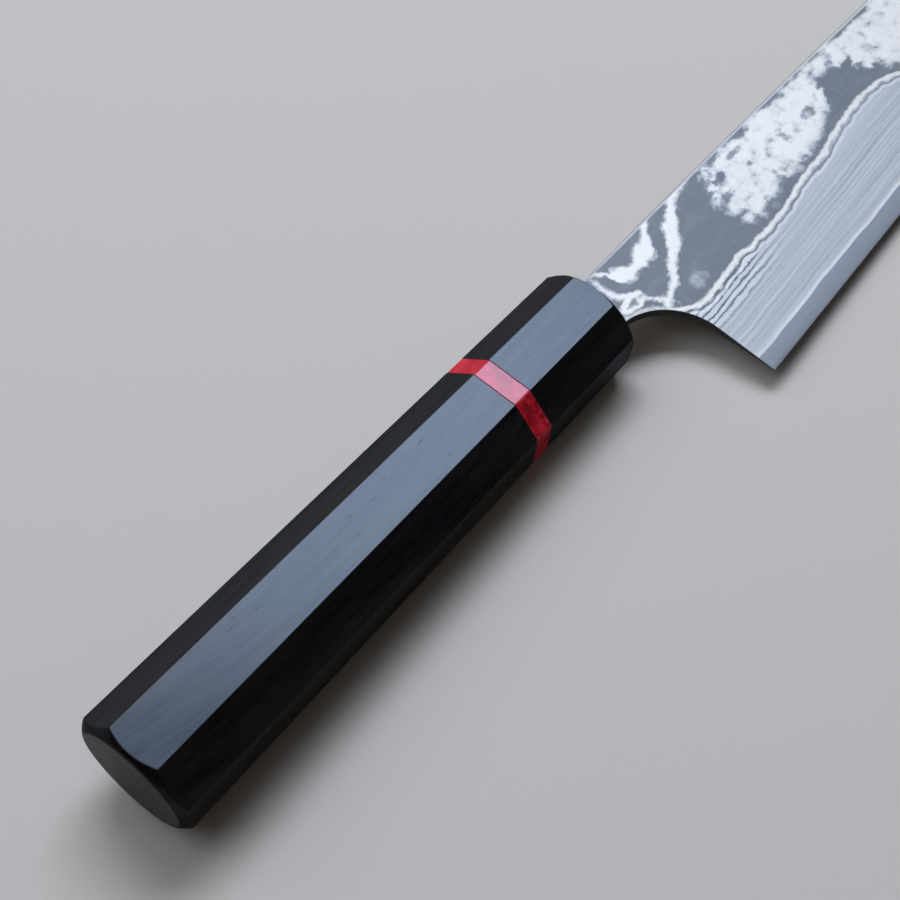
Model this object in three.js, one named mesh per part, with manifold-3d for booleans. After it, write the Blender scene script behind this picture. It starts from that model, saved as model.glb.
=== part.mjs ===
// A sujihiki slicing knife lying on its left face: a three-layer blade with a hidden stick tang, bedded
// in a slotted dowel inside an eight-sided handle of ferrule, ring and body.
// Millimetres. +X runs from the butt to the tip, +Y from the edge to the spine, +Z up through the blade.
// While the pieces are made, x is measured from the ferrule's front face, y and z from the handle's axis.

import * as THREE from "three";
import { mergeVertices } from "three/addons/utils/BufferGeometryUtils.js";
import Module from "manifold-3d";

const { lerp, clamp, smoothstep } = THREE.MathUtils;
const library = await Module();
library.setup();

// Handle: an octagon that grows steadily from the ferrule's front to the butt
const handleLength = 130;
const ferruleLength = 27.3;
const ringLength = 4.6;
const buttWidth = 25.4;
const buttThickness = 23.6;
const buttCornerCut = 7;
const frontWidth = 21.8;
const frontThickness = 20.3;
const frontCornerCut = 6;
const buttEase = 0.9;
const frontEase = 0.25;
const easeRounding = 0.5;
const easeReach = 5;
const easeFacets = 64;
const roundingFacets = 3;

// Inside of the handle: what is left free round the neck and the tang
const mouthGap = 0.6;
const mouthRoom = 2;
const sealDepth = 5;
const boreRoom = 1.1;
const tailRoom = 2;
const dowelHeel = 10;
const glueGap = 0.1;
const boreFacets = 32;

// Blade outline: heights of the spine and of the edge
const bladeLength = 270;
const heelX = 14.8;
const heelDrop = 35.2;
const spineHeight = 6.5;
const spineRiseEnd = 26;
const spineDrop = 10;
const spineCurve = 3;
const edgeSlope = 0.052;
const bellyCurve = 5;
const tipHeight = 0.8;

// Neck, the curved heel notch and the tang
const neckHeight = 12.4;
const neckDepth = 6;
const notchStart = 1.1;
const notchDepth = 21;
const tangLength = 88;
const tangShoulder = 0.5;
const tangTailHeight = 6;
const tangSideStep = 0.1;

// Blade section: thickness, grind and layers
const spineThickness = 2.4;
const tipThickness = 0.9;
const taperCurve = 1.3;
const grindCurve = 2.4;
const edgeThickness = 0.2;
const bevelHeight = 0.7;
const crownHeight = 1.1;
const coreThickness = 0.66;
const seamStrip = 3;
const seamWaves = [
  { height: 0.12, length: 37, start: 0.6 },
  { height: 0.07, length: 13.4, start: 2.1 },
  { height: 0.05, length: 7.6, start: 0.9 },
];

// Facets of the blade
const stationCount = 160;
const grindRows = 7;
const crownRows = 3;
const crownShare = 0.3;
const bevelShare = 0.5;
const bandRows = 2;
const notchFacets = 32;
const cutMargin = 12;

// Sizes and places that follow from these
const tipX = heelX + bladeLength;
const heelHeight = spineHeight + heelDrop;
const coreHalf = coreThickness / 2;
const tangFrontHeight = neckHeight - 2 * tangShoulder;
const tangThickness = spineThickness - 2 * tangSideStep;
const ringFrontX = -ferruleLength;
const bodyFrontX = ringFrontX - ringLength;
const buttX = -handleLength;
const mouthDepth = neckDepth + mouthRoom;
const boreDiameter = tangFrontHeight + 2 * boreRoom;
const slotWidth = tangThickness + 2 * glueGap;
const slotEndX = -tangLength - tailRoom;
const boreEndX = slotEndX - dowelHeel;

// Materials
function finish(color, roughness, metalness) {
  return new THREE.MeshStandardMaterial({ color, roughness, metalness });
}
const coreSteel = finish(0x9fa4ab, 0.35, 1);
const cladSteel = finish(0x7d828a, 0.4, 1);
const ebony = finish(0x1a1513, 0.25, 0);
const redResin = finish(0x9c1a20, 0.2, 0);
const dowelWood = finish(0xc9a878, 0.7, 0);
const clearResin = finish(0xb8a888, 0.5, 0);

// A closed skin over rings of equal count, each anticlockwise when seen from the tip's side.
// Each four-sided cell is split along its shorter diagonal, so neighbours that share a cell agree.
function loft(rings) {
  const corners = [];
  for (let i = 0; i + 1 < rings.length; i++) {
    const near = rings[i];
    const far = rings[i + 1];
    for (let j = 0; j < near.length; j++) {
      const k = (j + 1) % near.length;
      if (near[j].distanceTo(far[k]) < near[k].distanceTo(far[j])) {
        corners.push(near[j], near[k], far[k], near[j], far[k], far[j]);
      } else {
        corners.push(near[j], near[k], far[j], near[k], far[k], far[j]);
      }
    }
  }
  const first = rings[0];
  const last = rings[rings.length - 1];
  capTriangles(first).forEach(([a, b, c]) => corners.push(first[a], first[c], first[b]));
  capTriangles(last).forEach(([a, b, c]) => corners.push(last[a], last[b], last[c]));
  return new THREE.BufferGeometry().setFromPoints(corners);
}

function capTriangles(ring) {
  const flat = ring.map((point) => new THREE.Vector2(point.y, point.z));
  return THREE.ShapeUtils.triangulateShape(flat, []);
}

// Solids for joining and cutting, and the way back
function solidOf(geometry) {
  const bare = new THREE.BufferGeometry();
  bare.setAttribute("position", geometry.getAttribute("position"));
  bare.setIndex(geometry.getIndex());
  const merged = mergeVertices(bare);
  return new library.Manifold(
    new library.Mesh({
      numProp: 3,
      vertProperties: merged.getAttribute("position").array,
      triVerts: new Uint32Array(merged.getIndex().array),
    }),
  );
}

function geometryOf(solid) {
  const mesh = solid.getMesh();
  const geometry = new THREE.BufferGeometry();
  geometry.setAttribute("position", new THREE.BufferAttribute(mesh.vertProperties, mesh.numProp));
  geometry.setIndex(new THREE.BufferAttribute(mesh.triVerts, 1));
  const faceted = geometry.toNonIndexed();
  faceted.computeVertexNormals();
  return faceted;
}

function piece(name, solid, material) {
  const mesh = new THREE.Mesh(geometryOf(solid), material);
  mesh.name = name;
  return mesh;
}

// Handle sections and shared cutters
function handleSection(x) {
  const share = (x - buttX) / handleLength;
  return {
    width: lerp(buttWidth, frontWidth, share),
    thickness: lerp(buttThickness, frontThickness, share),
    cut: lerp(buttCornerCut, frontCornerCut, share),
  };
}

function octagonAt(x) {
  const { width, thickness, cut } = handleSection(x);
  const side = width / 2;
  const top = thickness / 2;
  const corners = [
    [side, cut - top],
    [side, top - cut],
    [side - cut, top],
    [cut - side, top],
    [-side, top - cut],
    [-side, cut - top],
    [cut - side, -top],
    [side - cut, -top],
  ];
  return corners.map(([y, z]) => new THREE.Vector3(x, y, z));
}

function handleSlice(rearX, frontX) {
  return solidOf(loft([octagonAt(rearX), octagonAt(frontX)]));
}

// A turned cone with a rounded rim, oval like the handle's end, that eases the end in an arc on each flat.
// It points along X: inward is 1 at the butt and -1 at the ferrule's front.
function easedEnd(endX, ease, length, inward) {
  const { width, thickness } = handleSection(endX);
  const rim = thickness / 2 - ease;
  const profile = new THREE.Path();
  profile.moveTo(0, 0);
  profile.lineTo(rim - easeRounding, 0);
  profile.quadraticCurveTo(rim, 0, rim + easeRounding, easeRounding);
  profile.lineTo(rim + easeReach, easeReach);
  profile.lineTo(rim + easeReach, length);
  profile.lineTo(0, length);
  const turned = new THREE.LatheGeometry(profile.getPoints(roundingFacets), easeFacets);
  turned.rotateZ((-inward * Math.PI) / 2);
  turned.scale(1, width / thickness, 1);
  turned.translate(endX, 0, 0);
  return solidOf(turned);
}

function rodAlongX(diameter, rearX, frontX) {
  const rod = new THREE.CylinderGeometry(diameter / 2, diameter / 2, frontX - rearX, boreFacets);
  rod.rotateZ(Math.PI / 2);
  rod.translate((rearX + frontX) / 2, 0, 0);
  return solidOf(rod);
}

function barAlongX(height, thickness, rearX, frontX) {
  const bar = new THREE.BoxGeometry(frontX - rearX, height, thickness);
  bar.translate((rearX + frontX) / 2, 0, 0);
  return solidOf(bar);
}

// Handle pieces
function makeHandleBody() {
  const blank = handleSlice(buttX, bodyFrontX);
  const eased = blank.intersect(easedEnd(buttX, buttEase, handleLength, 1));
  return eased.subtract(rodAlongX(boreDiameter, boreEndX, bodyFrontX + cutMargin));
}

function makeSpacerRing() {
  const blank = handleSlice(bodyFrontX, ringFrontX);
  return blank.subtract(rodAlongX(boreDiameter, bodyFrontX - cutMargin, ringFrontX + cutMargin));
}

function makeFerrule() {
  const blank = handleSlice(ringFrontX, 0);
  const eased = blank.intersect(easedEnd(0, frontEase, handleLength, -1));
  const bored = eased.subtract(rodAlongX(boreDiameter, ringFrontX - cutMargin, -mouthDepth));
  return bored.subtract(mouthBar(mouthGap, -mouthDepth - cutMargin, cutMargin));
}

// A bar of the neck's section with a margin all round
function mouthBar(margin, rearX, frontX) {
  return barAlongX(neckHeight + 2 * margin, spineThickness + 2 * margin, rearX, frontX);
}

function makeNeckSeal() {
  const plug = mouthBar(mouthGap - glueGap, -sealDepth, 0);
  return plug.subtract(mouthBar(glueGap, -sealDepth - cutMargin, cutMargin));
}

function makeTangDowel() {
  const rod = rodAlongX(boreDiameter - 2 * glueGap, boreEndX, -mouthDepth);
  const slot = barAlongX(boreDiameter, slotWidth, slotEndX, -mouthDepth + cutMargin);
  return rod.subtract(slot);
}

// Resin in the dowel's slot, above, behind and below the tang
function makeTangBedding() {
  const thickness = slotWidth - 2 * glueGap;
  const reach = Math.sqrt((boreDiameter / 2) ** 2 - (slotWidth / 2) ** 2) - 2 * glueGap;
  const frontX = -mouthDepth;
  const rearX = slotEndX + glueGap;
  const outline = new THREE.Shape();
  outline.moveTo(rearX, -reach);
  outline.lineTo(frontX, -reach);
  outline.lineTo(frontX, -tangHalfHeight(frontX) - glueGap);
  outline.lineTo(-tangLength - glueGap, -tangTailHeight / 2 - glueGap);
  outline.lineTo(-tangLength - glueGap, tangTailHeight / 2 + glueGap);
  outline.lineTo(frontX, tangHalfHeight(frontX) + glueGap);
  outline.lineTo(frontX, reach);
  outline.lineTo(rearX, reach);
  outline.closePath();
  const plate = new THREE.ExtrudeGeometry(outline, { depth: thickness, bevelEnabled: false });
  plate.translate(0, 0, -thickness / 2);
  return solidOf(plate);
}

// Blade outline and section at a distance x along the knife
function alongBlade(x) {
  return clamp((x - heelX) / bladeLength, 0, 1);
}

function spineY(x) {
  const rise = (spineHeight - neckHeight / 2) * smoothstep(x, 0, spineRiseEnd);
  return neckHeight / 2 + rise - spineDrop * alongBlade(x) ** spineCurve;
}

function edgeY(x) {
  const straight = edgeSlope * (x - heelX) - heelDrop;
  const belly = spineY(tipX) - tipHeight - (edgeSlope * bladeLength - heelDrop);
  return straight + belly * alongBlade(x) ** bellyCurve;
}

// The measures of one cross-section: u counts up from the edge to the spine
function bladeSection(x) {
  const height = spineY(x) - edgeY(x);
  const backHalf = lerp(spineThickness, tipThickness, alongBlade(x) ** taperCurve) / 2;
  const edgeHalf = edgeThickness / 2;
  const halfAt = (u) => edgeHalf + (backHalf - edgeHalf) * (1 - (1 - u / height) ** grindCurve);
  const coreShare = (coreHalf - edgeHalf) / (backHalf - edgeHalf);
  const band = height * (1 - (1 - coreShare) ** (1 / grindCurve));
  const seam = band + (seamWave(x) * height) / heelHeight;
  const crown = Math.min(crownHeight, crownShare * height);
  const shoulder = height - crown;
  const crownAngle = Math.acos(coreHalf / halfAt(shoulder));
  const coreTop = shoulder + crown * Math.sin(crownAngle);
  const strip = Math.min(seamStrip, crownShare * (coreTop - seam));
  return { x, height, halfAt, seam, crown, shoulder, crownAngle, coreTop, seamTop: seam + strip };
}

// The forged seam between core and cladding wanders up and down along the blade
function seamWave(x) {
  let sum = 0;
  for (const { height, length, start } of seamWaves) {
    sum += height * Math.sin((2 * Math.PI * x) / length + start);
  }
  return sum;
}

function sectionPoint(section, u, z) {
  return new THREE.Vector3(section.x, spineY(section.x) - section.height + u, z);
}

function mirrored(ring) {
  return ring.map((point) => new THREE.Vector3(point.x, point.y, -point.z)).reverse();
}

// One side of the core, from the cutting edge up to the crown
function coreFlank(section) {
  const bevel = Math.min(bevelHeight, bevelShare * section.seam);
  const flank = [];
  for (let row = 0; row <= bandRows; row++) {
    const u = lerp(bevel, section.seam, row / bandRows);
    flank.push(sectionPoint(section, u, section.halfAt(u)));
  }
  flank.push(sectionPoint(section, section.seamTop, coreHalf));
  flank.push(sectionPoint(section, section.coreTop, coreHalf));
  return flank;
}

function coreRing(section) {
  const edge = sectionPoint(section, 0, 0);
  const top = sectionPoint(section, section.height, 0);
  const upper = coreFlank(section);
  const lower = mirrored(upper).reverse();
  return [edge, ...lower, top, ...upper.reverse()];
}

function claddingRing(section) {
  const ring = [
    sectionPoint(section, section.seam, section.halfAt(section.seam)),
    sectionPoint(section, section.seamTop, coreHalf),
    sectionPoint(section, section.coreTop, coreHalf),
  ];
  const shoulderHalf = section.halfAt(section.shoulder);
  for (let row = 1; row <= crownRows; row++) {
    const angle = lerp(section.crownAngle, 0, row / crownRows);
    const u = section.shoulder + section.crown * Math.sin(angle);
    ring.push(sectionPoint(section, u, shoulderHalf * Math.cos(angle)));
  }
  for (let row = 1; row < grindRows; row++) {
    const u = lerp(section.shoulder, section.seam, row / grindRows);
    ring.push(sectionPoint(section, u, section.halfAt(u)));
  }
  return ring;
}

function bladeStations() {
  const stations = [];
  for (let i = 0; i <= stationCount; i++) {
    stations.push(bladeSection(lerp(-neckDepth, tipX, i / stationCount)));
  }
  return stations;
}

// What is cut away below the neck and behind the heel: a quarter oval that runs down into the heel
function heelNotch() {
  const reachX = -neckDepth - cutMargin;
  const reachY = -heelDrop - cutMargin;
  const notch = new THREE.Shape();
  notch.moveTo(reachX, reachY);
  notch.lineTo(heelX, reachY);
  notch.lineTo(heelX, -notchDepth);
  const across = heelX - notchStart;
  const down = notchDepth - neckHeight / 2;
  notch.absellipse(notchStart, -notchDepth, across, down, 0, Math.PI / 2, false);
  notch.lineTo(reachX, -neckHeight / 2);
  notch.closePath();
  const cutter = new THREE.ExtrudeGeometry(notch, {
    depth: 2 * cutMargin,
    bevelEnabled: false,
    curveSegments: notchFacets,
  });
  cutter.translate(0, 0, -cutMargin);
  return solidOf(cutter);
}

// Tang: a bar that narrows from the neck to the tail, cut from the same layers as the blade
function tangHalfHeight(x) {
  return lerp(tangTailHeight, tangFrontHeight, (x + tangLength) / (tangLength - neckDepth)) / 2;
}

function tangLayer(lowZ, highZ) {
  const ringAt = (x) => {
    const half = tangHalfHeight(x);
    const corners = [
      [-half, lowZ],
      [half, lowZ],
      [half, highZ],
      [-half, highZ],
    ];
    return corners.map(([y, z]) => new THREE.Vector3(x, y, z));
  };
  return solidOf(loft([ringAt(-tangLength), ringAt(-neckDepth / 2)]));
}

function makeBladeCore(stations) {
  const blank = solidOf(loft(stations.map(coreRing)));
  return blank.subtract(heelNotch()).add(tangLayer(-coreHalf, coreHalf));
}

function makeRightCladding(stations) {
  const blank = solidOf(loft(stations.map(claddingRing)));
  return blank.subtract(heelNotch()).add(tangLayer(coreHalf, tangThickness / 2));
}

function makeLeftCladding(stations) {
  const blank = solidOf(loft(stations.map((section) => mirrored(claddingRing(section)))));
  return blank.subtract(heelNotch()).add(tangLayer(-tangThickness / 2, -coreHalf));
}

// The knife, set down with the middle of its box over the origin
const stations = bladeStations();
const blade = new THREE.Group();
blade.add(
  piece("blade_core", makeBladeCore(stations), coreSteel),
  piece("cladding_right", makeRightCladding(stations), cladSteel),
  piece("cladding_left", makeLeftCladding(stations), cladSteel),
);

const handle = new THREE.Group();
handle.add(
  piece("handle_body", makeHandleBody(), ebony),
  piece("spacer_ring", makeSpacerRing(), redResin),
  piece("ferrule", makeFerrule(), ebony),
  piece("tang_dowel", makeTangDowel(), dowelWood),
  piece("tang_bedding", makeTangBedding(), clearResin),
  piece("neck_seal", makeNeckSeal(), clearResin),
);

const knife = new THREE.Group();
knife.add(blade, handle);
const box = new THREE.Box3().setFromObject(knife);
const middle = box.getCenter(new THREE.Vector3());
knife.position.set(-middle.x, -middle.y, -box.min.z);

const part = new THREE.Group();
part.add(knife);

export default part;
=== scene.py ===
from math import pi, radians, tan
import bmesh
import bpy
from mathutils import Matrix, Vector


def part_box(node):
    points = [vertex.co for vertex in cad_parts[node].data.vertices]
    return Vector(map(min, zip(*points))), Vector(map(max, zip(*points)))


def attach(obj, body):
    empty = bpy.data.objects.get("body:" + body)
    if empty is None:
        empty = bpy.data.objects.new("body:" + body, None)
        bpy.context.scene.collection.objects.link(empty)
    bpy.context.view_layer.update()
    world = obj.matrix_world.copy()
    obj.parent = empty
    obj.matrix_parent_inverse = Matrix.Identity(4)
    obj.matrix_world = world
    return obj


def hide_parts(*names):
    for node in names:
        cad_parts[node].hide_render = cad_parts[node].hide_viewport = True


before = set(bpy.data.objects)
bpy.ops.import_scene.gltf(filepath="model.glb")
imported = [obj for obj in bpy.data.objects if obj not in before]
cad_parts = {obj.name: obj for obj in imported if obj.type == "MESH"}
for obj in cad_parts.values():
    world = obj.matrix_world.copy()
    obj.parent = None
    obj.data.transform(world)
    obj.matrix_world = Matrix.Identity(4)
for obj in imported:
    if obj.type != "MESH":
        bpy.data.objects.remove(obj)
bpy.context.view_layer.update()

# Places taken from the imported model, in metres.
MM = 0.001
PER_METRE = 1000
ferrule_low, ferrule_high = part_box("ferrule")
ring_low, ring_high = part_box("spacer_ring")
FRONT = ferrule_high.x
AXIS_Y = (ferrule_low.y + ferrule_high.y) / 2
AXIS_Z = (ferrule_low.z + ferrule_high.z) / 2
START = Vector((FRONT, AXIS_Y, AXIS_Z))


def spot(x, y, z):
    """A place in the knife's own measure: millimetres from the ferrule's front, on the handle's axis."""
    return START + Vector((x, y, z)) * MM


# The photograph's frame and viewpoint.
PHOTO_WIDE = 900
FOCAL_PIXELS = 1900
SENSOR = 36
VIEW_TURN = radians(-56.065)
VIEW_LIFT = radians(60.529)
VIEW_ROLL = radians(7.102)
CAMERA_PLACE = (-191.605, -99.108, 317.854)

turn = (Matrix.Rotation(VIEW_TURN, 4, "Z") @ Matrix.Rotation(pi / 2 - VIEW_LIFT, 4, "X")
        @ Matrix.Rotation(VIEW_ROLL, 4, "Z"))
bpy.ops.object.camera_add(location=spot(*CAMERA_PLACE), rotation=turn.to_euler())
camera = bpy.context.object
camera.data.sensor_width = SENSOR
camera.data.lens = FOCAL_PIXELS / PHOTO_WIDE * SENSOR
camera.data.clip_start = 10 * MM
bpy.context.scene.camera = camera


# The handle's polish: the tint and share of mirrored light, and the clear coat under it.
POLISH_TINT = (0.72, 0.85, 1.0, 1.0)
POLISH_SHARE = 0.032
LACQUER = {"Coat_Weight": 0.10, "Coat_Roughness": 0.12}


class Level:
    """A socket of a finish. Sums and products of levels add Math nodes."""

    def __init__(self, finish, socket):
        self.finish = finish
        self.socket = socket

    def math(self, operation, *terms):
        return self.finish.node("ShaderNodeMath", {"operation": operation}, dict(enumerate(terms)))

    def __add__(self, other):
        return self.math("ADD", self, other)

    def __radd__(self, other):
        return self.math("ADD", other, self)

    def __sub__(self, other):
        return self.math("SUBTRACT", self, other)

    def __rsub__(self, other):
        return self.math("SUBTRACT", other, self)

    def __mul__(self, other):
        return self.math("MULTIPLY", self, other)

    def __rmul__(self, other):
        return self.math("MULTIPLY", other, self)

    def __truediv__(self, other):
        return self.math("DIVIDE", self, other)

    def __rtruediv__(self, other):
        return self.math("DIVIDE", other, self)

    def __pow__(self, other):
        return self.math("POWER", self, other)

    def __abs__(self):
        return self.math("ABSOLUTE", self)

    def most(self, other):
        return self.math("MAXIMUM", self, other)

    def least(self, other):
        return self.math("MINIMUM", self, other)

    def square(self):
        return self * self

    def sine(self):
        return self.math("SINE", self)

    def ease(self, low, high):
        """0 at low, 1 at high, eased between; low may be the larger."""
        return self.finish.node(
            "ShaderNodeMapRange", {"interpolation_type": "SMOOTHSTEP"},
            {"Value": self, "From Min": low, "From Max": high})


class Finish:
    """A material and the one way its nodes are added."""

    def __init__(self, name):
        self.material = bpy.data.materials.new(name)
        self.material.use_nodes = True
        self.tree = self.material.node_tree
        self.tree.nodes.clear()

    def node(self, kind, settings=None, inputs=None, output=0):
        made = self.tree.nodes.new(kind)
        for key, value in (settings or {}).items():
            if key == "points":
                curve = made.mapping.curves[0]
                while len(curve.points) < len(value):
                    curve.points.new(0.5, 0.5)
                for point, place in zip(curve.points, value):
                    point.location = place
                made.mapping.extend = "HORIZONTAL"
                made.mapping.update()
            else:
                setattr(made, key, value)
        for key, value in (inputs or {}).items():
            if isinstance(value, Level):
                self.tree.links.new(value.socket, made.inputs[key])
            else:
                made.inputs[key].default_value = value
        return Level(self, made.outputs[output]) if made.outputs else made

    def place(self):
        """The point on the piece, in millimetres from the ferrule's front on the handle's axis."""
        point = self.node("ShaderNodeTexCoord", output="Object")
        parts = self.tree.nodes.new("ShaderNodeSeparateXYZ")
        self.tree.links.new(point.socket, parts.inputs[0])
        return [(Level(self, parts.outputs[k]) - START[k]) * PER_METRE for k in range(3)]

    def mottle(self, x, y, z, detail=3.0, roughness=0.5):
        """Soft cloudy noise about one half."""
        point = self.node("ShaderNodeCombineXYZ", None, {0: x, 1: y, 2: z})
        return self.node("ShaderNodeTexNoise", None,
                         {"Vector": point, "Scale": 1.0, "Detail": detail, "Roughness": roughness})

    def follow(self, along, points):
        """A smooth line through the points, read at a place along it."""
        first, last = points[0][0], points[-1][0]
        low = min(p[1] for p in points)
        tall = max(p[1] for p in points) - low
        stops = [((a - first) / (last - first), (b - low) / tall) for a, b in points]
        share = self.node("ShaderNodeFloatCurve", {"points": stops},
                          {"Value": (along - first) / (last - first)})
        return share * tall + low

    def blend(self, amount, first, second):
        """Two colours, or levels of colour, mixed by an amount."""
        first, second = (c if isinstance(c, Level) else (*c, 1.0) for c in (first, second))
        return self.node("ShaderNodeMix", {"data_type": "RGBA"}, {0: amount, 6: first, 7: second}, 2)

    def facing(self, axis):
        """How far the face turns to either side of an axis: 0 for x, 1 for y, 2 for z."""
        normal = self.node("ShaderNodeNewGeometry", output="True Normal")
        return abs(self.node("ShaderNodeSeparateXYZ", None, {0: normal}, axis))

    def upright(self):
        """1 on faces that stand square to the blade's sides."""
        return self.facing(2).ease(0.6, 0.4)

    def dent(self, height, strength, distance):
        return self.node("ShaderNodeBump", None,
                         {"Height": height, "Strength": strength, "Distance": distance})

    def shader(self, **sockets):
        return self.node("ShaderNodeBsdfPrincipled", None,
                         {k.replace("_", " "): v for k, v in sockets.items()})

    def close(self, shader):
        self.node("ShaderNodeOutputMaterial", None, {"Surface": shader})
        return self.material

    def polished(self, under, rough, share, **sockets):
        """A thin polish over a dull surface: a small, even share of mirrored light."""
        polish = self.shader(Base_Color=POLISH_TINT, Metallic=1.0, Roughness=rough, **sockets)
        return self.close(self.node("ShaderNodeMixShader", None, {0: share, 1: under, 2: polish}))


# Steel tones.
DARK_STEEL = (0.106, 0.117, 0.128)
MIST_STEEL = (0.29, 0.298, 0.302)
BRIGHT_STEEL = (0.50, 0.482, 0.456)
LINE_DARK = (0.176, 0.190, 0.206)
LINE_LIGHT = (0.366, 0.374, 0.380)
LINE_INK = (0.064, 0.072, 0.082)
CORE_STEEL = (0.156, 0.170, 0.190)
CORE_LIGHT = (0.178, 0.194, 0.214)
# Pale steel for light parts of the pattern, and the painted highlight along the spine.
PALE_PATTERN_AND_SPINE_HIGHLIGHT = (0.50, 0.496, 0.486)
# Near-black steel for painted shade on the choil's upright walls.
WALL_PAINTED_SHADE = (0.035, 0.032, 0.029)

# The forged pattern's main lines on the blade's face, in millimetres along and across the knife.
BORDER = [(12, -12), (15, -14.2), (18, -15.3), (22, -15.1), (26, -14.7), (30, -14.4), (32, -13.8),
          (34, -14.3), (40, -14.5), (46, -14.2), (52, -13.3), (58, -12.3), (65, -11.9), (71, -10.7),
          (77, -9.7), (86, -9.1), (92, -10), (97, -12), (108, -14), (122, -13), (138, -9.5), (152, -9.8),
          (168, -12), (186, -9), (204, -6.5), (222, -8), (244, -7.5), (262, -6), (286, -5)]
CALM_BORDER = [(12, -15.9), (24, -15.2), (40, -14.1), (65, -12.1), (88, -10.5), (128, -10.6), (152, -10),
               (190, -8.5), (222, -7.7), (244, -7.1), (262, -6), (286, -5)]
UPPER_VEIN = [(5.5, 6.2), (7, 5.9), (8.5, 4.7), (9.2, 3.3), (10, 1.6), (11.5, 1.1), (12.5, 0.5), (14, 0.4),
              (15, 0.3), (16.5, 0.5), (18, 1.1), (20, 1.1), (21, 1.7), (22, 2.8), (24, 5), (25, 6),
              (26.5, 7)]
UPPER_VEIN_HALF = [(4, -1), (6, 0.3), (7, 0.45), (8.5, 0.7), (9.2, 1.0), (10, 1.6), (11.5, 2.3),
                   (12.5, 2.1), (14, 1.4), (15, 1.1), (16.5, 1.9), (18, 2.1), (20, 2.1), (21, 1.9),
                   (22, 1.35), (24, 1.0), (26, 0.8), (28, -1)]
LOWER_VEIN = [(12, -10.3), (13, -9.9), (15, -8.9), (17, -8), (18, -7.5), (20, -5.3), (22, -4.1),
              (23, -3.3), (24, -2.4), (25, -1.6), (26, -0.7), (27, 0.2), (28, 1), (29, 1.4), (30, 2.2),
              (31, 3.1), (32, 4), (33, 4.7), (35, 5.5), (37, 5.8), (40, 6.3), (42, 6.5)]
LOWER_VEIN_HALF = [(11, -1), (12.5, 0.8), (15, 0.65), (17, 0.8), (18, 1.05), (20, 1.2), (22, 0.95),
                   (23, 1.1), (24, 1.4), (25, 1.6), (26, 2.3), (27, 2.4), (28, 1.8), (29, 1.5), (31, 1.2),
                   (33, 1.0), (35, 0.8), (38.5, 0.7), (40, 0.4), (43, -1)]
NECK_VEIN = [(-11, 14), (-9, 12.8), (-8, 12), (-7, 11.2), (-6, 10.4), (-5, 10), (-4, 9.3), (-3, 8.2),
             (-2, 7.1), (-1, 6.4), (0, 6.2), (2, 6.1), (5, 6.2)]
NECK_VEIN_HALF = [(-11, -0.5), (-9, 0.7), (-7, 0.6), (-5, 0.6), (-4, 0.9), (-3, 1.1), (-1, 0.7), (1, 0.5),
                  (4, 0.35), (5.5, -1)]
CLOUD_FLOOR = [(34, -10), (38, -10.8), (42, -11.6), (46, -11.3), (51, -11), (54, -9), (57, -10),
               (62, -10.2), (68, -9), (73, -7), (78, -5), (80.5, 0.5), (83, 1.5), (87, 1), (90, -2),
               (93, -5.5), (97, -9.5), (104, -11.5), (112, -11), (118, -8.5), (124, -9.5), (133, -7),
               (141, -6.5), (147, -3), (150, 5), (154, 6), (157, 1), (161, -6), (167, -8.5), (176, -7),
               (181, -2), (184, 4), (187, 2), (191, -3.5), (199, -3.2), (209, -3.8), (220, -5.5),
               (228, -4), (233, 3), (236, 5), (241, 1), (247, -3.5), (258, -4.5), (268, -4), (276, -2.5),
               (290, -3)]
# Dark holes in the first cloud: middle along and across, half length and half height.
HOLES = [(45, 0.8, 1.8, 0.8), (48, 4.6, 2.6, 0.8), (43, -3, 1.3, 0.8), (53.2, 2.7, 2.6, 0.8),
         (54.5, -8, 0.9, 2.2), (64, -3, 1.0, 1.8), (73, -2.8, 2.0, 1.1)]
HEEL_X, HEEL_CUT_X, HEEL_CUT_Y = 14.8, 1.1, -21.0
HEEL_CUT_TALL = 14.8
HEEL_CUT_MEAN = 14
PAST_HEEL = 16
# The pattern's single spots: middle along and across, half length and half height.
KNOT = (7.7, -4.7, 3.2, 1.7)
EYE = (8.2, -4.8, 2.1, 0.85)
PATCH_X, PATCH_Y = 21.5, -11.2
CLOUD_START = 39.3
# The photograph shows the blade as far as this; beyond it the pattern goes on in the same manner.
SEEN_TO = 96
LAYERS = 17
LAYERS_PER_STROKE = 1.5


def blade_line(node, choose):
    """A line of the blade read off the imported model: the chosen height at each station along it."""
    heights = {}
    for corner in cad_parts[node].data.vertices:
        x, y = ((corner.co - START) * PER_METRE)[:2]
        heights.setdefault(round(x, 1), []).append(y)
    return [(x, choose(heights[x])) for x in sorted(heights) if x > PAST_HEEL]


SPINE = blade_line("cladding_right", max)
SEAM = blade_line("cladding_right", min)


def spread(x, y, oval):
    """0 in the middle of an oval spot, 1 on its outline."""
    x_mid, y_mid, long, tall = oval
    return ((x - x_mid) / long).square() + ((y - y_mid) / tall).square()


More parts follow.
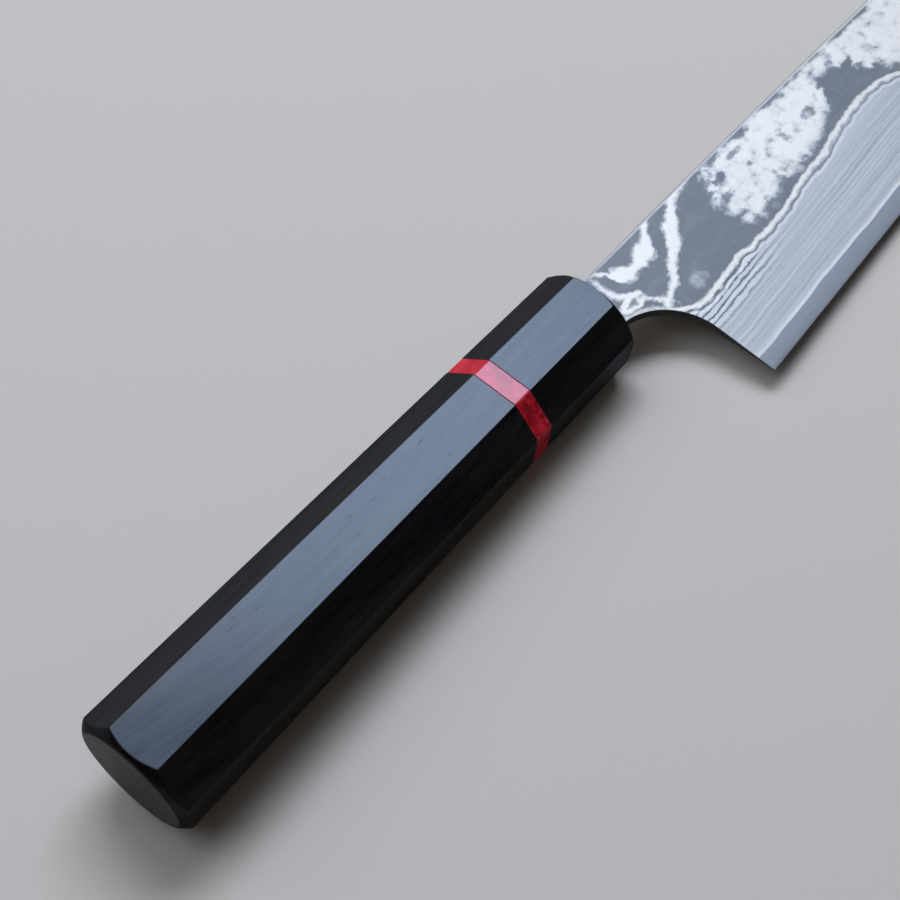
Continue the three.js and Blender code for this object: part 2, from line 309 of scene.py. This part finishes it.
def pattern_steel(name, stretch, slide, seed):
    """Etched pattern-welded steel: bright veins and clouds over a grey field, fine lines towards the edge; with a
    painted highlight along the spine and painted shade on the choil wall.
    """
    steel = Finish(name)
    x_true, y = steel.place()[:2]
    x = x_true * stretch + slide
    warp_x = (steel.mottle(x * 0.45, y * 0.45, seed, 3, 0.55) - 0.5) * 2.0
    warp_y = (steel.mottle(x * 0.45, y * 0.45, seed + 40, 3, 0.55) - 0.5) * 1.8
    rag_x, rag_y = x + warp_x, y + warp_y
    sway = (steel.mottle(x * 0.16, y * 0.16, seed + 21, 3, 0.5) - 0.5) * 5
    speck = steel.mottle(x * 0.3, y * 0.34, seed + 9, 2.5, 0.55)
    thin = steel.mottle(x * 0.15, y * 0.2, seed + 7, 3, 0.55)
    feather = steel.mottle(x * 0.7, y * 0.9, seed + 67, 3, 0.65)

    border = steel.follow(x, BORDER)
    below = border - y - warp_y * 0.35 - (speck - 0.5) * 1.5

    upper = steel.follow(rag_x, UPPER_VEIN_HALF) - abs(rag_y - steel.follow(rag_x, UPPER_VEIN))
    lower = steel.follow(rag_x, LOWER_VEIN_HALF) - abs(rag_y - steel.follow(rag_x, LOWER_VEIN))
    neck = steel.follow(rag_y, NECK_VEIN_HALF) - abs(rag_x - steel.follow(rag_y, NECK_VEIN))
    cut_x = (x - HEEL_CUT_X) / (HEEL_X - HEEL_CUT_X)
    cut_y = (y - HEEL_CUT_Y) / HEEL_CUT_TALL
    from_cut = ((cut_x.square() + cut_y.square()) ** 0.5 - 1) * HEEL_CUT_MEAN + warp_y * 0.6
    rim = (0.35 - abs(from_cut - 0.4)).least(below * -1 + 1)
    knot = 1 - spread(rag_x, rag_y, KNOT) + (speck - 0.5) * 2
    eye = spread(rag_x, rag_y, EYE) + (speck - 0.5) * 3 + (feather - 0.5) * 4
    teeth = (feather - 0.5) * 2.2
    veins = (upper.most(lower).most(neck) + teeth).ease(-0.8, 0.7)
    veins = veins.most((rim + teeth * 0.4).ease(-0.6, 0.6) * (0.65 + speck * 0.45))
    veins = veins.most(knot.ease(-0.5, 0.5)) * (0.12 + eye.ease(0.2, 1.5) * 0.88)

    # The clouds: ragged banks above a floor line and right of a bowed start, crumbled and holed in places.
    lean = x.ease(SEEN_TO, SEEN_TO + 24) * rag_y * 0.9
    frayed = rag_x + lean + (speck - 0.5) * 6 + (feather - 0.5) * 4
    floor = rag_y - steel.follow(frayed, CLOUD_FLOOR) + sway * 0.25 + (speck - 0.5) * 5
    start = rag_x - CLOUD_START - (y + 5).square() * 0.035 + (speck - 0.5) * 6
    broken = x.ease(51, 43) * y.ease(-4, 1)
    holes = (thin - 0.5) * 0.55 + (speck - 0.5) * 0.65 - broken * 0.08
    from_spine = steel.follow(x_true, SPINE) - y
    margin = from_spine + (thin - 0.5) * 7
    clouds = floor.ease(-1.8, 2.8) * start.ease(-1.6, 2.6) * holes.ease(-0.27, 0.06) * margin.ease(0.6, 2.4)
    haze = steel.mottle(x * 0.07, y * 0.13, seed + 61, 2, 0.5).ease(0.3, 0.7)
    for hole in HOLES:
        away = spread(rag_x, rag_y, hole) + (speck - 0.5) * 2 + (feather - 0.5) * 5
        clouds = clouds * (0.3 + away.ease(0.0, 2.2) * 0.7)
    clouds = clouds * (1 - broken * feather.ease(0.58, 0.44) * 0.55)
    strand = abs(steel.mottle(rag_x * 0.05, rag_y * 0.13, seed + 51, 2, 0.5) - 0.5)
    strands = strand.ease(0.05, 0.015) * x.ease(SEEN_TO, SEEN_TO + 10) * below.ease(-0.6, -1.6)
    face = steel.blend(clouds.ease(0.0, 0.6), DARK_STEEL, MIST_STEEL)
    bright = (clouds.ease(0.15, 1.05) * (0.56 + haze * 0.22 + feather * 0.7)).most(veins).most(strands * 0.8)
    face = steel.blend(bright * (0.86 + thin * 0.24), face, BRIGHT_STEEL)
    smoke = steel.mottle(x * 0.12, y * 0.3, seed + 13, 3, 0.55).ease(0.45, 0.85)
    scratch = steel.mottle(x * 1.6, y * 0.14, seed + 73, 2, 0.5).ease(0.6, 0.75)
    patch = 1.2 - ((rag_x - PATCH_X).square() * 0.26 + (rag_y - PATCH_Y).square() * 0.5)
    patch = patch + (feather - 0.5) * 3 + (speck - 0.5) * 4
    crumb = steel.mottle(x * 0.75, y * 0.75, seed + 18, 2, 0.5).ease(0.3, 0.66)
    mist = (smoke * 0.16).most(scratch * 0.14).most(patch.ease(-1.2, 1.6) * (0.5 + crumb * 0.4))
    face = steel.blend(mist, face, MIST_STEEL)

    # The lines towards the edge: layers counted from the border down to the seam.
    seam = steel.follow(x_true, SEAM)
    calm = steel.follow(x, CALM_BORDER)
    depth = (calm - y) / (calm - seam) * LAYERS
    ripple = (steel.mottle(x * 0.09, depth * 0.35, seed + 3, 3) - 0.5) * 0.9 + warp_y * 0.3 + (feather - 0.5) * 0.45
    layer = depth + ripple * 0.6
    broad = steel.mottle(x * 0.012, layer * 1.1, seed + 11, 2, 0.6).ease(0.3, 0.7)
    fine = steel.mottle(x * 0.02, layer * 3.4, seed + 31, 2, 0.6).ease(0.3, 0.7)
    edge_lines = steel.blend(0.2 + broad * 0.33 + fine * 0.5, LINE_DARK, LINE_LIGHT)
    near_cut = x.ease(46, 28) * depth.ease(8.5, 4.0)
    edge_lines = steel.blend(near_cut * 0.4, edge_lines, PALE_PATTERN_AND_SPINE_HIGHLIGHT)
    waves = ((depth + ripple * 1.6) * (2 * pi / LAYERS_PER_STROKE) + 0.5).sine() * 0.5 + 0.5
    strokes = (waves ** 3) * near_cut * (0.75 + broad * 0.5)
    edge_lines = steel.blend(strokes, edge_lines, LINE_INK)
    third = below.ease(1.15, 1.45) * below.ease(2.2, 1.6)
    edge_lines = steel.blend(third * 0.45, edge_lines, PALE_PATTERN_AND_SPINE_HIGHLIGHT)
    second = below.ease(0.56, 0.76) * below.ease(1.3, 1.0)
    edge_lines = steel.blend(second * (0.3 + broad * 0.5), edge_lines, LINE_INK)

    tone = steel.blend(below.ease(0.35, 0.6), face, edge_lines)
    band = 0.56 + (feather - 0.5) * 0.7 - abs(below + 0.18)
    tone = steel.blend(band.ease(-0.3, 0.3) * (0.72 + speck * 0.4), tone, BRIGHT_STEEL)
    tone = steel.blend((y - seam + warp_y * 0.25).ease(1.0, 0.45) * (0.35 + speck * 0.5), tone, BRIGHT_STEEL)
    # Painted highlight: a pale band along the spine, where its rounded edge would mirror the bright sky.
    tone = steel.blend(from_spine.ease(1.05, 0.6) * (0.75 + thin * 0.4), tone, PALE_PATTERN_AND_SPINE_HIGHLIGHT)
    # Painted shade on the choil's upright wall.
    tone = steel.blend(steel.upright() * y.ease(-4, -6), tone, WALL_PAINTED_SHADE)
    rough = steel.mottle(x * 0.7, y * 2.0, seed + 5, 3) * 0.14 + 0.5
    return steel.close(steel.shader(Base_Color=tone, Metallic=0.7, Roughness=rough))


def core_steel():
    steel = Finish("plain core steel")
    x, y, z = steel.place()
    strokes = steel.mottle(x * 0.12, y * 3.0, z, 3, 0.6)
    tone = steel.blend(strokes.ease(0.3, 0.7), CORE_STEEL, CORE_LIGHT)
    # Painted shade on the core's upright wall at the choil.
    tone = steel.blend(steel.upright() * x.ease(16.5, 15.5) * y.ease(-4, -6), tone, WALL_PAINTED_SHADE)
    return steel.close(steel.shader(Base_Color=tone, Metallic=0.7, Roughness=strokes * 0.1 + 0.52))


def ebony():
    wood = Finish("polished ebony")
    x, y, z = wood.place()
    across = y - (x.least(-30) + 72).square() * 0.0019
    band = wood.mottle(x * 0.03, across * 0.28, z * 0.28, 4, 0.6)
    streak = wood.mottle(x * 0.05, across * 1.5, z * 1.5, 3, 0.6)
    pore = wood.mottle(x * 0.5, across * 3.2, z * 3.2, 1.5, 0.5).ease(0.71, 0.77)
    tone = wood.blend(band.ease(0.35, 0.75), (0.0016, 0.0014, 0.0014), (0.008, 0.005, 0.0037))
    tone = wood.blend(streak.ease(0.55, 0.8) * 0.5, tone, (0.020, 0.012, 0.009))
    end_grain = wood.mottle(x, y * 1.2, z * 0.35, 4, 0.65)
    end_grain_and_painted_reflection = wood.blend(end_grain.ease(0.3, 0.7), (0.055, 0.048, 0.038), (0.080, 0.070, 0.056))
    # Painted reflection: the end faces get lighter towards +y, as if mirroring the lit table there.
    end_grain_and_painted_reflection = wood.blend(y.ease(0, 11) * 0.6, end_grain_and_painted_reflection, (0.125, 0.113, 0.092))
    tone = wood.blend(wood.facing(0).ease(0.93, 0.99), tone, end_grain_and_painted_reflection)
    rough = band * 0.14 + streak * 0.08 + pore * 0.3 + 0.18
    dents = wood.dent(1 - pore, 0.15, 0.00005)
    under = wood.shader(Base_Color=tone, Roughness=0.6, Specular_IOR_Level=0.0, Normal=dents, **LACQUER)
    share = 0.86 + band.ease(0.35, 0.65) * 0.16 + streak.ease(0.35, 0.65) * 0.14
    share = share * (1 - pore * 0.35) * POLISH_SHARE
    chamfer = wood.facing(0).ease(0.15, 0.4) * wood.facing(0).ease(0.97, 0.9)
    share = share * (1 - chamfer * 0.55)
    return wood.polished(under, rough, share, Normal=dents)


GLUE_LINE = 0.16


def red_resin():
    resin = Finish("marbled red resin")
    x, y, z = resin.place()
    swirl = resin.mottle(x * 0.16, y * 0.16, z * 0.16, 3, 0.5)
    veins = abs(resin.mottle(x * 0.26, y * 0.26, z * 0.26, 4, 0.6) - 0.5).ease(0.04, 0.0)
    webbed = ((swirl - 0.5) * 12 - y).ease(4.5, 7.5)
    clot = resin.mottle(x * 0.5, y * 0.5, z * 0.5, 3, 0.6).ease(0.46, 0.62)
    tone = resin.blend(swirl.ease(0.38, 0.65), (0.46, 0.010, 0.018), (0.66, 0.024, 0.042))
    # Darker webs and clots, and painted shade on the ring's lower side, below y = -10.
    tone = resin.blend((webbed * clot * 0.65).most(y.ease(-10, -11.5) * 0.45), tone, (0.17, 0.007, 0.009))
    tone = resin.blend(veins * (0.12 + webbed * 0.6), tone, (0.10, 0.004, 0.006))
    ends = [(k - START.x) * PER_METRE for k in (ring_low.x, ring_high.x)]
    glue = (x - ends[0]).least(ends[1] - x).ease(GLUE_LINE, GLUE_LINE * 0.6)
    tone = resin.blend(glue * 0.85, tone, (0.02, 0.006, 0.006))
    under = resin.shader(Base_Color=tone, Roughness=0.5, Specular_IOR_Level=0.0, **LACQUER)
    return resin.polished(under, 0.15, POLISH_SHARE * 0.92)


def dowel_wood():
    wood = Finish("sawn dowel wood")
    x, y, z = wood.place()
    grain = wood.mottle(x * 0.05, y * 1.4, z * 1.4, 4, 0.6)
    tone = wood.blend(grain.ease(0.3, 0.7), (0.48, 0.34, 0.20), (0.66, 0.50, 0.32))
    return wood.close(wood.shader(Base_Color=tone, Roughness=0.75))


def cured_resin():
    resin = Finish("cured resin")
    x, y, z = resin.place()
    haze = resin.mottle(x * 0.6, y * 0.6, z * 0.6, 3)
    tone = resin.blend(haze, (0.06, 0.05, 0.042), (0.11, 0.092, 0.075))
    return resin.close(resin.shader(Base_Color=tone, Roughness=0.4))


def pick(piece):
    bpy.ops.object.select_all(action="DESELECT")
    piece.select_set(True)
    bpy.context.view_layer.objects.active = piece


def merged_copy(node, name):
    """A copy of a CAD node's mesh with its triangles joined up, as a piece of its own."""
    piece = bpy.data.objects.new(name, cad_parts[node].data.copy())
    piece.data.name = name
    bpy.context.scene.collection.objects.link(piece)
    piece.data.materials.clear()
    pick(piece)
    bpy.ops.object.mode_set(mode="EDIT")
    bpy.ops.mesh.select_all(action="SELECT")
    bpy.ops.mesh.remove_doubles(threshold=MM * 0.001)
    bpy.ops.object.mode_set(mode="OBJECT")
    return piece


def stand_for(piece, node, material):
    piece.data.materials.append(material)
    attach(piece, "root")
    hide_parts(node)


def eased(piece, wide, share_of_edge):
    """Rounds a piece's edges: share_of_edge gives each edge's share of the width."""
    pick(piece)
    shares = piece.data.attributes.new("bevel_weight_edge", "FLOAT", "EDGE")
    work = bmesh.new()
    work.from_mesh(piece.data)
    for edge in work.edges:
        if len(edge.link_faces) == 2:
            shares.data[edge.index].value = share_of_edge(edge)
    work.free()
    bpy.ops.object.modifier_add(type="BEVEL")
    ease = piece.modifiers[-1]
    ease.limit_method = "WEIGHT"
    ease.width = wide
    ease.segments = 3
    bpy.ops.object.modifier_apply(modifier=ease.name)
    bpy.ops.object.shade_smooth_by_angle(angle=radians(50))
    bpy.ops.object.modifier_add(type="WEIGHTED_NORMAL")
    piece.modifiers[-1].keep_sharp = True
    bpy.ops.object.modifier_apply(modifier=piece.modifiers[-1].name)


ARRIS = 0.6 * MM
BARE_RADIUS = 8.2 * MM
BUTT_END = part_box("handle_body")[0].x + 5 * MM


def off_axis(vertex):
    return Vector((vertex.co.y - AXIS_Y, vertex.co.z - AXIS_Z)).length


def handle_share(edge):
    if min(off_axis(v) for v in edge.verts) < BARE_RADIUS or edge.calc_face_angle() < radians(12):
        return 0.0
    if abs((edge.verts[1].co - edge.verts[0].co).normalized().x) > 0.9:
        return 0.5
    return 1.0 if max(v.co.x for v in edge.verts) < BUTT_END else 0.35


BLADE_ARRIS = 0.5 * MM
CORE_HALF = 0.33 * MM
CLAD_FULL = 0.85 * MM


def blade_share(edge):
    """The outer edges of spine and choil in front of the ferrule, eased less where the layer thins out."""
    ends = [v.co - START for v in edge.verts]
    if min(e.x for e in ends) < MM or edge.calc_face_angle() < radians(50):
        return 0.0
    out = 1 if ends[0].z > 0 else -1
    turned = sorted(face.normal.z * out for face in edge.link_faces)
    if turned[0] < -0.3 or turned[1] < 0.7:
        return 0.0
    thick = min(abs(e.z) for e in ends) - CORE_HALF
    return max(0.0, min(1.0, thick / CLAD_FULL)) * (1.0 if min(e.y for e in ends) > 0 else 0.5)


EBONY = ebony()
for node, name, slot, material in (("handle_body", "handle_shaft", "ebony", EBONY),
                                   ("spacer_ring", "red_ring", "red_resin", red_resin()),
                                   ("ferrule", "front_ferrule", "ebony", EBONY)):
    wood = merged_copy(node, name)
    bpy.ops.object.mode_set(mode="EDIT")
    bpy.ops.mesh.select_all(action="SELECT")
    bpy.ops.mesh.dissolve_limited(angle_limit=radians(0.05))
    bpy.ops.object.mode_set(mode="OBJECT")
    eased(wood, ARRIS, handle_share)
    stand_for(wood, node, material)

for node, name, slot, material in (
        ("blade_core", "cutting_core", "core_steel", core_steel()),
        ("cladding_right", "right_cladding", "clad_steel", pattern_steel("pattern steel right", 1.0, 0.0, 3.0)),
        ("cladding_left", "left_cladding", "clad_steel", pattern_steel("pattern steel left", 0.86, 9.0, 71.0))):
    steel = merged_copy(node, name)
    if node == "blade_core":
        bpy.ops.object.shade_smooth_by_angle(angle=radians(30))
    else:
        eased(steel, BLADE_ARRIS, blade_share)
    stand_for(steel, node, material)

RESIN = cured_resin()
for node, material in (("tang_dowel", dowel_wood()), ("tang_bedding", RESIN), ("neck_seal", RESIN)):
    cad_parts[node].data.materials.clear()
    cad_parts[node].data.materials.append(material)

# The table under the knife: it touches the ferrule's lower front corner and the edge near the tip, and the
# knife leans to the edge's side.
LEAN_ALONG, LEAN_ACROSS = radians(1.97), radians(8.7)
TABLE_SIZE = 12
TABLE_GAP = 0.05 * MM
LIT_TABLE = (0.585, 0.525, 0.455, 1)
FAR_TABLE = (0.585, 0.59, 0.595, 1)
LIT_TO, FAR_FROM = 210, 760
up = Vector((-tan(LEAN_ALONG), tan(LEAN_ACROSS), 1)).normalized()
lowest = min((v.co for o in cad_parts.values() for v in o.data.vertices), key=up.dot)
bpy.ops.object.select_all(action="DESELECT")
bpy.ops.mesh.primitive_plane_add(size=TABLE_SIZE, location=lowest - up * TABLE_GAP,
                                 rotation=up.to_track_quat("Z", "Y").to_euler())
table = bpy.context.object
table.name = "table"
bpy.ops.object.transform_apply(location=True, rotation=True, scale=True)
cover = Finish("pale table")
x, y = cover.place()[:2]
near = cover.shader(Base_Color=LIT_TABLE, Roughness=0.8, Specular_IOR_Level=0.1)
far = cover.shader(Base_Color=(0, 0, 0, 1), Specular_IOR_Level=0.0, Emission_Color=FAR_TABLE,
                   Emission_Strength=1.0)
away = ((x.square() + y.square()) ** 0.5).ease(LIT_TO, FAR_FROM)
table.data.materials.append(cover.close(cover.node("ShaderNodeMixShader", None, {0: away, 1: near, 2: far})))

# Dark cards beside the table and behind the butt: only polished faces see them.
CARD_SIZE = (1.5, 0.42, 1)
felt = Finish("dark card")
FELT = felt.close(felt.shader(Base_Color=(0.01, 0.01, 0.01, 1), Roughness=0.9, Specular_IOR_Level=0.0))
for name, place, turned in (("side_card", (80, -450, 190), 0), ("butt_card", (-620, 40, 190), pi / 2)):
    bpy.ops.mesh.primitive_plane_add(size=1, location=spot(*place), rotation=(pi / 2, 0, turned))
    card = bpy.context.object
    card.name = name
    card.scale = CARD_SIZE
    bpy.ops.object.transform_apply(location=True, rotation=True, scale=True)
    card.data.materials.append(FELT)
    for ray in ("camera", "diffuse", "transmission", "volume_scatter", "shadow"):
        setattr(card, "visible_" + ray, False)


def softbox(aim, place, wide, tall, watts, colour):
    bpy.ops.object.light_add(type="AREA", location=place)
    lamp = bpy.context.object
    lamp.rotation_euler = (aim - Vector(place)).to_track_quat("-Z", "Y").to_euler()
    lamp.data.shape = "RECTANGLE"
    lamp.data.size, lamp.data.size_y = wide, tall
    lamp.data.energy = watts
    lamp.data.color = colour


# A window ahead of the tip, a fill beyond the spine and a wide ceiling.
softbox(spot(-40, 0, 0), spot(405, 402, 950), 0.80, 0.42, 9.9, (0.82, 0.95, 1.18))
softbox(spot(0, 0, 0), spot(-380, 820, 1000), 1.4, 1.1, 7.0, (0.88, 0.97, 1.12))
softbox(spot(0, 0, 0), spot(-60, -60, 3000), 6.0, 6.0, 11.0, (0.95, 0.98, 1.04))

# Pale all round to the eye and to polished faces, dim as a source of light.
DIM_ROUND = (0.032, 0.029, 0.026, 1)
PALE_ROUND = (0.60, 0.605, 0.61, 1)
world = bpy.data.worlds.new("studio")
bpy.context.scene.world = world
world.use_nodes = True
around = world.node_tree
path = around.nodes.new("ShaderNodeLightPath")
seen = path.outputs["Is Camera Ray"]
for ray in ("Is Glossy Ray", "Is Transmission Ray"):
    either = around.nodes.new("ShaderNodeMath")
    either.operation = "MAXIMUM"
    around.links.new(seen, either.inputs[0])
    around.links.new(path.outputs[ray], either.inputs[1])
    seen = either.outputs[0]
shade = around.nodes.new("ShaderNodeMix")
shade.data_type = "RGBA"
shade.inputs[6].default_value = DIM_ROUND
shade.inputs[7].default_value = PALE_ROUND
around.links.new(seen, shade.inputs[0])
around.links.new(shade.outputs[2], around.nodes["Background"].inputs[0])

bpy.context.scene.view_settings.view_transform = "Standard"
